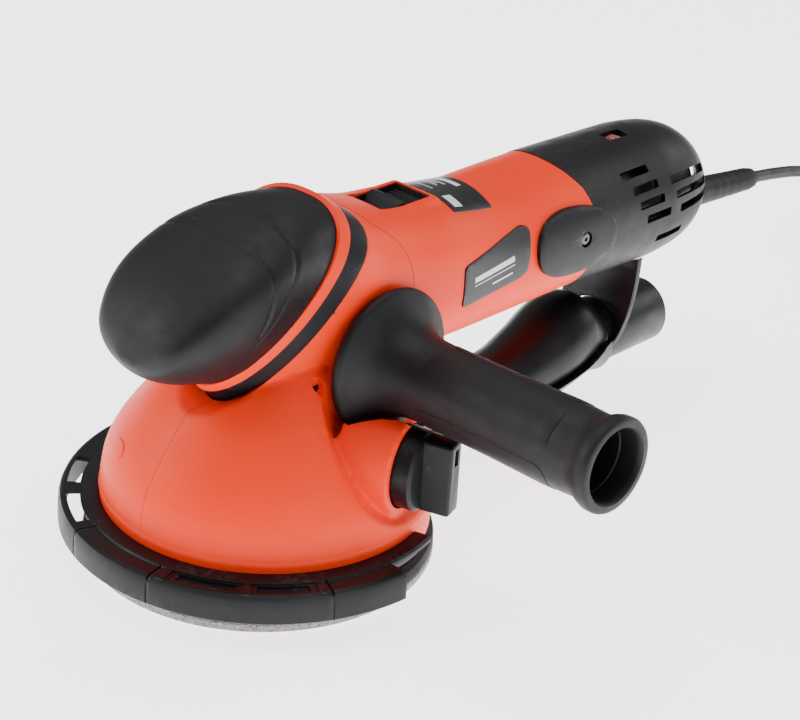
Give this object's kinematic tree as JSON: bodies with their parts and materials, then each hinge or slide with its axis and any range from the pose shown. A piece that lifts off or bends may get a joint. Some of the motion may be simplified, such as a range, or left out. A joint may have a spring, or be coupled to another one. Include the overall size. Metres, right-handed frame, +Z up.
{
  "type": "orbital sander",
  "caption": "Dual-mode corded orbital sander with a round pad, palm grip, screw-in side handle, mode knob, slide switch, speed wheel and rear dust outlet.",
  "frame": {"origin": "middle of the sanding face, on the spindle axis", "axes": "+Z up along the spindle, -Y towards the palm grip, +Y along the motor to the cord, +X along the side handle"},
  "size_m": [0.2465, 0.6311, 0.1565],
  "materials": {
    "orange_shell": "satin moulded orange ABS",
    "black_shell": "fine-textured black nylon",
    "grip_rubber": "soft-touch black overmould",
    "badge": "dark grey badge",
    "dial": "dark red thumbwheel",
    "steel": "ground steel",
    "cast_alloy": "die-cast alloy",
    "copper": "copper and brass",
    "carbon": "carbon brush",
    "board": "circuit board",
    "pad_foam": "dense pad foam",
    "hook_fabric": "hook fabric",
    "cable": "rubber cable sheath"
  },
  "bodies": {
    "body": {"bearing_bracket": "cast_alloy", "brush_cover_left": "black_shell", "brush_cover_right": "black_shell", "brush_holder_left": "copper", "brush_holder_right": "copper", "carbon_brush_left": "carbon", "carbon_brush_right": "carbon", "cord": "cable", "cord_coil": "cable", "cord_tail": "cable", "cover_screw_left": "steel", "cover_screw_right": "steel", "duct_bracket": "black_shell", "dust_duct": "black_shell", "dust_nozzle": "black_shell", "front_bearing": "steel", "gear_housing": "cast_alloy", "gearbox_cover": "cast_alloy", "grip_band": "grip_rubber", "grip_rim": "orange_shell", "handle_grip": "grip_rubber", "handle_stud": "steel", "head_shell_left": "orange_shell", "head_shell_right": "orange_shell", "lower_bearing": "steel", "motor_housing": "orange_shell", "motor_stator": "steel", "pad_guard": "black_shell", "palm_grip": "grip_rubber", "plug_body": "grip_rubber", "plug_pin_1": "steel", "plug_pin_2": "steel", "rear_bearing": "steel", "rear_cap": "black_shell", "side_badge_left": "badge", "side_badge_right": "badge", "speed_board": "board", "strain_relief": "grip_rubber", "switch_module": "black_shell", "upper_bearing": "steel"},
    "armature": {"motor_shaft": "steel", "armature_core": "copper", "commutator": "copper", "cooling_fan": "black_shell", "bevel_pinion": "steel"},
    "spindle_unit": {"spindle": "steel", "crown_gear": "steel", "eccentric_hub": "steel", "counterweight": "cast_alloy", "pad_bearing": "steel"},
    "pad": {"hook_face": "hook_fabric", "pad_foam": "pad_foam", "pad_plate": "black_shell"},
    "switch": {"switch_button": "black_shell"},
    "dial": {"speed_dial": "dial", "dial_axle": "steel"},
    "knob": {"mode_knob": "black_shell"},
    "lock_ring": {"mode_ring": "steel"}
  },
  "joints": [
    {"name": "spindle_spin", "type": "hinge", "parent": "body", "child": "spindle_unit", "pos_m": [0, 0, 0.09], "axis": [0, 0, 1], "continuous": true},
    {"name": "armature_spin", "type": "hinge", "parent": "body", "child": "armature", "pos_m": [0, 0.1, 0.103], "axis": [0, 1, 0], "continuous": true},
    {"name": "pad_spin", "type": "hinge", "parent": "spindle_unit", "child": "pad", "pos_m": [-0.00143, -0.00205, 0.04], "axis": [0, 0, 1], "continuous": true},
    {"name": "switch_slide", "type": "slide", "parent": "body", "child": "switch", "axis": [0, -1, 0], "range_m": [0, 0.0065]},
    {"name": "dial_turn", "type": "hinge", "parent": "body", "child": "dial", "pos_m": [0.0041, 0.2132, 0.1262], "axis": [1, 0, 0], "range_deg": [0, 270]},
    {"name": "knob_turn", "type": "hinge", "parent": "body", "child": "knob", "pos_m": [0.05706, 0.01854, 0.054], "axis": [0.9511, 0.309, 0], "range_deg": [0, 90]},
    {"name": "ring_slide", "type": "slide", "parent": "body", "child": "lock_ring", "axis": [0, 0, -1], "range_m": [0, 0.004]}
  ],
  "couplings": [
    {"joint": "armature_spin", "follows": "spindle_spin", "ratio": 3},
    {"joint": "knob_turn", "follows": "ring_slide", "rad_per_m": 392.7}
  ]
}
